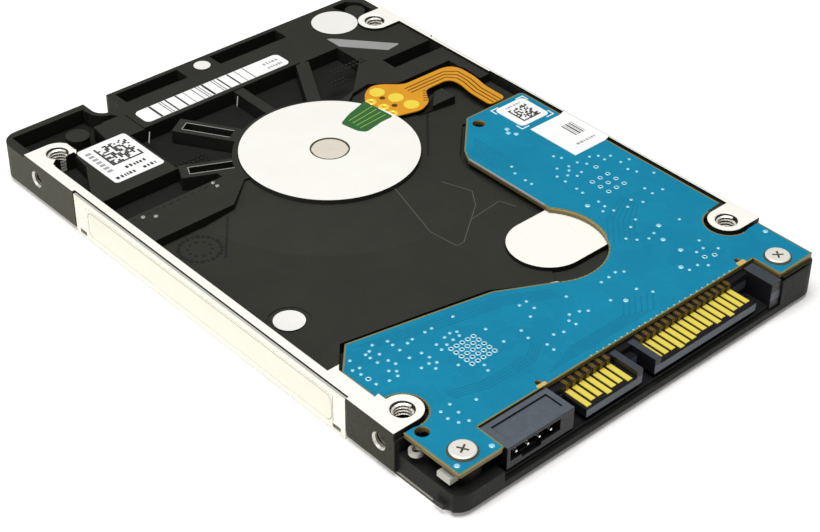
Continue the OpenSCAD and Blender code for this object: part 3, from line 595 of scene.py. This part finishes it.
def dashes(name, rows, z, mat, h=0.55):
    """Rows of short blocks where a real label has small print."""
    polys = []
    for x0, x1, y in rows:
        x = x0
        while x < x1 - 0.2:
            w = random.uniform(0.25, 0.55)
            polys.append(rect(x, min(x + w, x1), y, y + h * random.uniform(0.7, 1.0)))
            x += w + random.uniform(0.15, 0.3)
    return prisms(name, polys, z, z + INK_HIGH, mat)


bar_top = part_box("barcode_label")[1][2] / MM
BAR_WIDTHS = [0.42, 1.5, 0.14, 0.3, 0.14, 0.55, 0.3, 1.6, 0.32, 1.25, 0.12, 1.4, 0.16, 0.7, 0.16, 0.3,
    0.14, 0.45]
bars("barcode_bars", -13.3, 4.9, 38.92, 42.55, bar_top, BAR_WIDTHS, EXTRA["ink"])
dashes("barcode_small_print", [(8.0, 10.8, 39.6), (8.0, 10.8, 40.9)], bar_top, EXTRA["ink_grey"], h=0.7)
code_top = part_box("code_label")[1][2] / MM
speckle("code_label_cells", -26.3, 32.7, 15, 15, 0.36, code_top, EXTRA["ink"])
dashes("code_label_print", [(-25.2, -21.4, 30.9), (-27.9, -24.6, 29.3), (-23.2, -21.0, 29.3)], code_top,
    EXTRA["ink"], h=0.8)
prisms("code_label_side_print", [rect(-27.9, -27.0, 31.6 + 0.95 * i, 32.2 + 0.95 * i) for i in range(7)],
    code_top, code_top + INK_HIGH, EXTRA["ink_grey"])
small_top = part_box("board_label")[1][2] / MM
speckle("board_label_cells", 27.9, 1.9, 12, 12, 0.31, small_top, EXTRA["ink"])
dashes("board_label_print", [(28.2, 31.2, 6.1)], small_top, EXTRA["ink_grey"], h=0.5)
corner = []
for cx, cy, sx, sy in ((26.1, 7.6, 1, -1), (33.1, 7.6, -1, -1), (26.1, 0.5, 1, 1), (33.1, 0.5, -1, 1)):
    corner.append(rect(min(cx, cx + sx * 1.6), max(cx, cx + sx * 1.6), min(cy, cy + sy * 0.22),
        max(cy, cy + sy * 0.22)))
    corner.append(rect(min(cx, cx + sx * 0.22), max(cx, cx + sx * 0.22), min(cy + sy * 0.22, cy + sy * 1.4),
                       max(cy + sy * 0.22, cy + sy * 1.4)))
prisms("board_label_corners", corner, BOARD_TOP - 0.01, BOARD_TOP + 0.01, EXTRA["silk"])
bars("edge_label_bars", 31.1, 33.3, -6.1, -2.9, BOARD_TOP + 0.08,
    [0.22, 0.25, 0.1, 0.22, 0.3, 0.2, 0.1, 0.16], EXTRA["ink"])
dashes("edge_label_print", [(29.4, 33.2, -8.2)], BOARD_TOP + 0.08, EXTRA["ink_grey"], h=0.6)

# ---------- motor ribbon ----------
tail = rounded([(6.0, 19.5), (6.6, 16.2), (7.5, 15.2), (11.2, 15.9), (13.4, 15.9), (12.9, 22.2),
    (11.8, 21.7), (8.7, 20.8)], 0.5)
amber = rounded([(13.6, 16.0), (18.3, 14.7), (20.7, 15.7), (22.7, 18.8), (27.0, 18.85), (27.9, 18.2),
    (28.1, 16.6), (27.5, 13.6), (27.4, 8.9), (30.7, 8.9), (30.75, 13.6), (31.4, 16.6), (31.45, 19.8),
    (30.9, 21.4), (29.4, 22.05), (21.2, 22.2), (18.5, 24.6), (16.8, 25.2), (14.8, 24.2), (12.6, 21.6),
    (14.0, 19.0)], 0.9)
prisms("motor_ribbon", [amber], 6.50, 6.66, M["flex_amber"], bevel=0.03,
    replaces=("motor_flex",))
prisms("motor_ribbon_tail", [tail], 6.862, 6.92, EXTRA["green_film"], bevel=0.015)
prisms("motor_ribbon_tail_tracks", [strip((7.4, 16.6 + 0.9 * i), (12.8, 17.0 + 1.05 * i),
    0.16) for i in range(4)], 6.91, 6.926, simple("green_track", (0.30, 0.42, 0.10), 0.3))
prisms("motor_ribbon_pads", [disc(16.4, 23.1, 1.25, 28), disc(17.6, 20.0, 1.25, 28),
    disc(18.1, 16.9, 1.25, 28)], 6.64, 6.74, EXTRA["amber_pad"], bevel=0.05)
bm = bmesh.new()
for x, y in ((13.9, 21.6), (14.4, 19.2), (14.2, 16.9)):
    add_lathe(bm, x, y, [(0.30, 6.64), (0.34, 6.72), (0.6, 6.76), (0.86, 6.72), (0.92, 6.64)], 20)
finish_piece(bm, "motor_ribbon_rings", EXTRA["amber_pad"], smooth=True)
prisms("motor_ribbon_voids", [disc(15.9, 21.3, 0.5, 8), disc(15.9, 18.4, 0.5, 8)], 6.64, 6.672,
    EXTRA["amber_dark"])
gaps = []
for i, d in enumerate((0.95, 1.7, 2.45)):
    line = [(20.4, 22.05 - d), (29.0 - d * 0.5, 22.0 - d), (31.35 - d, 20.6 - d), (31.35 - d, 16.6),
        (30.7 - d, 13.5), (30.7 - d, 9.0)]
    for a, b in zip(line, line[1:]):
        gaps.append(strip(a, b, 0.22))
prisms("motor_ribbon_gaps", gaps, 6.64, 6.668, EXTRA["amber_dark"])
prisms("motor_ribbon_stitches", [strip((20.3 + 0.45 * i, 16.6 + 0.55 * i),
    (20.9 + 0.45 * i, 16.2 + 0.55 * i), 0.16) for i in range(5)], 6.64, 6.69, EXTRA["amber_dark"])

# ---------- motor base ----------
# painted shade: a dark ring in the groove round the hub
bm = bmesh.new()
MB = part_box("motor_base")[1][2] / MM
add_lathe(bm, SX, SY, [(2.80, MB - 0.30), (2.80, MB + 0.004), (3.02, MB + 0.004), (3.02, MB - 0.30)], 64)
finish_piece(bm, "motor_base_groove_shade", EXTRA["painted_shade"])
bm = bmesh.new()
add_lathe(bm, SX, SY, [(0, MB - 0.3), (2.7, MB - 0.3), (2.7, MB - 0.06), (2.5, MB - 0.03),
    (0, MB - 0.03)], 64)
finish_piece(bm, "thrust_cap_face", simple("cap_face", (0.82, 0.76, 0.64), 0.35, 0.2))

# ---------- screws, threads and bright rims ----------


def thread(bm, place, r_out, r_in, length, pitch=0.5, n=20):
    """A helical ridge on a bore wall, running down -Z from the mouth at the origin."""
    turns = int(length / pitch)
    rings = []
    for i in range(turns * n + 1):
        a = 2 * math.pi * i / n
        z = -pitch * i / n
        rings.append([bm.verts.new(place @ Vector((r * math.cos(a) * MM, r * math.sin(a) * MM,
            (z + dz) * MM))) for r, dz in ((r_out, 0.17), (r_in, 0.03), (r_in, -0.03), (r_out, -0.17))])
    for a, b in zip(rings, rings[1:]):
        for k in range(4):
            bm.faces.new((a[k], a[(k + 1) % 4], b[(k + 1) % 4], b[k]))
    bm.faces.new(rings[0])
    bm.faces.new(list(reversed(rings[-1])))


def outward(sx, x, y):
    """Places an origin near a side face, with +Z pointing out of the drive."""
    return Matrix.Translation((sx * x * MM, y * MM, 4.0 * MM)) @ Matrix.Rotation(sx * math.pi / 2, 4, "Y")


bm = bmesh.new()
for sx in (-1, 1):
    for y in (HYF, HYR):
        thread(bm, Matrix.Translation((sx * HX * MM, y * MM, 6.55 * MM)), 1.5, 1.24, 2.3)
        thread(bm, outward(sx, 34.2, y), 1.5, 1.24, 1.4)
finish_piece(bm, "hole_threads", EXTRA["thread"])
FACE = [(1.30, -0.03), (1.30, -0.003), (2.0, -0.003), (1.95, -0.03)]
CHAMFER = [(1.10, -0.42), (1.14, -0.36), (1.34, -0.05), (1.42, -0.05), (1.42, -0.42)]
for kind, mat, prof in (("face", M["casting"], FACE), ("chamfer", EXTRA["thread"], CHAMFER)):
    bm = bmesh.new()
    for sx in (-1, 1):
        for y in (HYF, HYR):
            add_lathe(bm, 0, 0, prof + prof[:1], 40, outward(sx, 34.825, y))
    finish_piece(bm, "side_hole_" + kind, mat, smooth=kind != "face")


def pan_screw(name, cx, cy, turn, z0, r, h):
    """A pan head with a cross recess cut into it."""
    bm = bmesh.new()
    add_lathe(bm, cx, cy, [(0, z0), (r, z0), (r, z0 + h * 0.6), (r * 0.97, z0 + h * 0.82),
        (r * 0.91, z0 + h * 0.95), (r * 0.86, z0 + h), (0, z0 + h)], 48)
    ob = finish_piece(bm, name, EXTRA["screw_head_painted_shade"])
    cut = bmesh.new()
    for k in range(2):
        a = turn + k * math.pi / 2
        d = (math.cos(a) * r * 0.46, math.sin(a) * r * 0.46)
        add_prism(cut, strip((cx - d[0], cy - d[1]), (cx + d[0], cy + d[1]), 0.30 + 0.002 * k),
            z0 + h * 0.25, z0 + h * 1.5)
    me = bpy.data.meshes.new(name + "_cut")
    cut.to_mesh(me)
    cut.free()
    tool = bpy.data.objects.new(name + "_cut", me)
    scene.collection.objects.link(tool)
    mod = ob.modifiers.new("cross", "BOOLEAN")
    mod.operation = "DIFFERENCE"
    mod.object = tool
    mod.solver = "EXACT"
    mod.use_self = True
    bpy.context.view_layer.update()
    done = bpy.data.meshes.new_from_object(ob.evaluated_get(bpy.context.evaluated_depsgraph_get()))
    ob.modifiers.clear()
    ob.data = done
    bpy.data.objects.remove(tool)
    return ob


screw_a = pan_screw("board_screw_left", *LEFT_SCREW, BOARD_TOP + 0.01, 1.78, 0.38)
pan_screw("board_screw_right", *RIGHT_SCREW, BOARD_TOP + 0.01, 1.78, 0.38)
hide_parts("pcb_screws")
shades = []
for cx, cy, turn in (LEFT_SCREW, RIGHT_SCREW):
    for k in range(2):
        a = turn + k * math.pi / 2
        d = (math.cos(a) * 0.76, math.sin(a) * 0.76)
        shades.append(strip((cx - d[0], cy - d[1]), (cx + d[0], cy + d[1]), 0.24))
prisms("board_screw_cross_shade", shades, BOARD_TOP + 0.10, BOARD_TOP + 0.14, EXTRA["painted_shade"])
# painted shade: a dark ring round the foot of each board screw head
bm = bmesh.new()
for cx, cy, turn in (LEFT_SCREW, RIGHT_SCREW):
    add_lathe(bm, cx, cy, [(1.80, BOARD_TOP - 0.01), (1.80, BOARD_TOP + 0.012), (2.06, BOARD_TOP + 0.012),
        (2.06, BOARD_TOP - 0.01), (1.80, BOARD_TOP - 0.01)], 48)
finish_piece(bm, "board_screw_ring_shade", EXTRA["painted_shade"])

# ---------- marks cast into the base ----------
bm = bmesh.new()
for k in range(24):
    a = 2 * math.pi * k / 24
    add_prism(bm, disc(-28.0 + 3.0 * math.cos(a), 9.5 + 3.0 * math.sin(a), 0.26 if k % 2 else 0.36, 8),
        LOW - 0.02, LOW + 0.05)
for k in range(10):
    a = 2 * math.pi * k / 10
    add_prism(bm, disc(-28.0 + 1.7 * math.cos(a), 9.5 + 1.7 * math.sin(a), 0.22, 8), LOW - 0.02, LOW + 0.05)
finish_piece(bm, "cast_dial", EXTRA["emboss"])
rows = []
for i in range(11):
    rows.append(rect(-32.2 + 1.25 * i, -31.6 + 1.25 * i, 19.3, 19.5))
prisms("cast_dashes", rows, 6.49, 6.53, EXTRA["emboss"])
prisms("machined_dots", [disc(-30.6, 19.2, 0.33, 16), disc(-29.1, 18.2, 0.33, 16),
    disc(-18.0, 19.75, 0.3, 16), disc(-18.0, 18.7, 0.3, 16)], 6.48, 6.56, EXTRA["bright_metal_and_highlight"],
    bevel=0.02)

# painted highlights on the rims of the two slots in the ribs and on ticks on the ribs, pale lines and raised
# marks on the field


def rib_point(angle, along, across):
    """A point in the frame of a rib that leaves the spindle at an angle."""
    a = math.radians(angle)
    return (SX + along * math.cos(a) - across * math.sin(a), SY + along * math.sin(a) + across * math.cos(a))


rims = []
for angle, half, r0, r1 in ((122, 0.95, 15.5, 23.2), (154, 0.9, 14.6, 21.2)):
    corners = [rib_point(angle, r0, half), rib_point(angle, r1, half), rib_point(angle, r1, -half),
        rib_point(angle, r0, -half)]
    for a, b in zip(corners[:3], corners[1:]):
        rims.append(strip(a, b, 0.15))
prisms("slot_rim_highlights", rims, FIELD - 0.03, FIELD + 0.012, EXTRA["bright_metal_and_highlight"])
prisms("rib_tick_highlights", [strip((-18.7, 34.6), (-16.9, 37.0), 0.16),
    strip((-2.4, 34.4), (-0.6, 36.6), 0.14)], FIELD - 0.3, FIELD + 0.012, EXTRA["bright_metal_and_highlight"])
PALE = [(8.0, -0.9), (10.3, -5.1), (8.4, -7.9), (0.8, -13.5), (-0.5, -13.5), (-1.1, -8.5), (1.6, 3.2)]
PALE2 = [(5.6, -10.1), (11.7, -9.4), (12.6, -12.0)]


def skirt(x, y):
    """Height of the low field, which rises as a cone towards the motor."""
    return max(LOW, 4.0 + 2.1 * (34.0 - math.hypot(x - SX, y - SY)) / 19.8)


def draped(name, chains, w, rise, mat):
    """Bands along chains of points, laid on the low field and its cone."""
    bm = bmesh.new()
    for chain in chains:
        for a, b in zip(chain, chain[1:]):
            n = max(1, int(math.dist(a, b)))
            for k in range(n):
                p = [a[i] + (b[i] - a[i]) * k / n for i in (0, 1)]
                q = [a[i] + (b[i] - a[i]) * (k + 1) / n for i in (0, 1)]
                first = len(bm.verts)
                add_prism(bm, strip(p, q, w), 0.0, 1.0)
                bm.verts.ensure_lookup_table()
                for v in list(bm.verts)[first:]:
                    v.co.z = (skirt(v.co.x / MM, v.co.y / MM) + (rise if v.co.z > 0.0005 else -0.03)) * MM
    return finish_piece(bm, name, mat)


draped("field_pale_lines", (PALE, PALE2), 0.13, 0.015, EXTRA["faint_outline"])
draped("field_dark_lines", ([(10.8, 5.0), (20.4, 15.8)], [(-26.6, 5.5), (-20.6, 12.9)]), 0.42, 0.015,
    EXTRA["emboss"])
marks = []
for x0, y0, across, down in ((-18.4, 26.8, 8, 4), (15.0, 31.8, 9, 2), (12.0, 29.0, 5, 2)):
    for i in range(across):
        for j in range(down):
            marks.append(rect(x0 + i * 0.78, x0 + i * 0.78 + 0.46, y0 + j * 0.86, y0 + j * 0.86 + 0.56))
prisms("cast_grid_marks", marks[:32], 4.18, 4.36, M["casting"], bevel=0.05)
prisms("cast_field_marks", marks[32:], FIELD - 0.02, FIELD + 0.05, EXTRA["emboss"])

# edge line of the board
EDGE = [(14.3, -17.2), (14.3, -0.1), (15.4, 1.9), (21.95, 8.36), (33.3, 8.36), (33.7, 7.8), (33.7, -32.4)]
EDGE2 = [(34.1, -39.3), (34.1, -49.0), (27.1, -49.2), (27.0, -44.3), (-26.0, -44.3), (-26.1, -49.2),
    (-33.1, -49.2), (-33.4, -49.0), (-33.4, -39.3)]
EDGE3 = [(-31.6, -32.2), (-31.6, -25.6), (-27.7, -21.5), (-15.7, -23.9), (-5.6, -26.0), (2.9, -30.5)]
NOTCH_R = 8.97
for k in range(31):
    a = math.radians(238 + 5.4 * k)
    EDGE3.append((7.6 + NOTCH_R * math.cos(a), -22.9 + NOTCH_R * math.sin(a)))
CUTOUT_R = 3.37
CUTOUTS = []
for side in (-1, 1):
    turns = [math.radians(-90 + 7.5 * k) for k in range(25)]
    CUTOUTS.append([(side * (HX - CUTOUT_R * math.cos(a)), HYF + CUTOUT_R * math.sin(a)) for a in turns])
lines = []
for chain in [EDGE, EDGE2, EDGE3] + CUTOUTS:
    for a, b in zip(chain, chain[1:]):
        d = Vector((b[0] - a[0], b[1] - a[1])).normalized() * 0.03
        lines.append(strip((a[0] - d.x, a[1] - d.y), (b[0] + d.x, b[1] + d.y), 0.22))
prisms("board_edge_line", lines, BOARD_TOP - 0.02, BOARD_TOP + 0.004,
    simple("edge_tint", (0.20, 0.20, 0.07), 0.5))
# painted highlight: a bright strip along the board's left edge where it faces the light
prisms("board_edge_highlight", [strip((14.32, -16.0), (14.32, -0.1), 0.3)], BOARD_TOP - 0.22,
    BOARD_TOP + 0.008, EXTRA["bright_metal_and_highlight"])

# contact tails, jumper pin tips and the shield parts in the open corner
tails = [-11.075 + TAIL_PITCH * i for i in range(7)] + [2.895 + TAIL_PITCH * i for i in range(15)]
prisms("contact_tails", [rect(x - 0.30, x + 0.30, -45.47, -45.38) for x in tails], 4.70, 5.62,
       EXTRA["lead"])
prisms("contact_tail_feet", [rect(x - 0.30, x + 0.30, -45.4, -44.35) for x in tails], 5.70, 5.74,
       EXTRA["lead"])
prisms("jumper_pin_tips", [rect(-24.3 + 2 * i, -24.0 + 2 * i, YF + 0.62, YF + 1.35) for i in range(4)],
    4.86, 5.14, EXTRA["bright_metal_and_highlight"], bevel=0.06)
bm = bmesh.new()
add_lathe(bm, -33.3, -41.4, [(0.55, 4.7), (0.55, 5.3), (1.0, 5.3), (1.0, 4.7), (0.55, 4.7)], 24)
add_prism(bm, rect(-34.0, -32.6, -48.2, -45.9), 4.5, 5.45, 0.15)
finish_piece(bm, "corner_shield_parts", simple("dull_tin", (0.46, 0.45, 0.40), 0.4, 0.4, var=0.2,
    scale=1200))
prisms("side_foot_notch", [rect(-34.83, -34.6, -48.0, -46.2)], 0.85, 1.6, EXTRA["emboss"])

# ---------- camera, floor and light ----------
az, el, roll, dist = math.radians(-44.90), math.radians(36.25), math.radians(2.17), 257.91 * MM
target = Vector((1.71, -16.56, 3.5)) * MM
back = Vector((math.sin(az) * math.cos(el), -math.cos(az) * math.cos(el), math.sin(el)))
right = (-back).cross(Vector((0, 0, 1))).normalized()
up = right.cross(-back)
r2 = math.cos(roll) * right + math.sin(roll) * up
u2 = -math.sin(roll) * right + math.cos(roll) * up
cam_data = bpy.data.cameras.new("camera")
cam = bpy.data.objects.new("camera", cam_data)
scene.collection.objects.link(cam)
place = Matrix((r2, u2, back)).transposed().to_4x4()
place.translation = target + back * dist
cam.matrix_world = place
cam_data.lens = 80.39
cam_data.sensor_width = 36
cam_data.shift_x = -0.0892
cam_data.shift_y = -0.0099
cam_data.clip_start = 0.005
cam_data.clip_end = 20
scene.camera = cam

bm = bmesh.new()
bmesh.ops.create_grid(bm, x_segments=2, y_segments=2, size=2.5)
me = bpy.data.meshes.new("floor")
bm.to_mesh(me)
bm.free()
floor = bpy.data.objects.new("floor", me)
floor.location.z = -0.00002
scene.collection.objects.link(floor)
pale = simple("pale_floor", (0.92, 0.91, 0.89), 0.9, var=0.005, depth=0.000001)
shader = pale.node_tree.nodes["Principled BSDF"]
shader.inputs["Emission Color"].default_value = (1, 1, 1, 1)
shader.inputs["Emission Strength"].default_value = 0.14
me.materials.append(pale)


def area(name, spot, aim, size, power):
    """A soft rectangular light at one place, turned to another."""
    light = bpy.data.lights.new(name, "AREA")
    light.shape = "RECTANGLE"
    light.size, light.size_y = size
    light.energy = power
    ob = bpy.data.objects.new(name, light)
    ob.location = spot
    ob.rotation_euler = (Vector(aim) - Vector(spot)).to_track_quat("-Z", "Y").to_euler()
    scene.collection.objects.link(ob)


world = bpy.data.worlds.new("studio")
scene.world = world
world.use_nodes = True
world.node_tree.nodes["Background"].inputs[0].default_value = (1, 1, 1, 1)
world.node_tree.nodes["Background"].inputs[1].default_value = 0.14
area("overhead", (-0.12, -0.05, 0.75), (0, 0, 0), (0.55, 0.55), 6.3)
area("left_soft", (-0.62, 0.10, 0.28), (0, 0, 0), (0.35, 0.35), 1.15)
scene.view_settings.view_transform = "Standard"
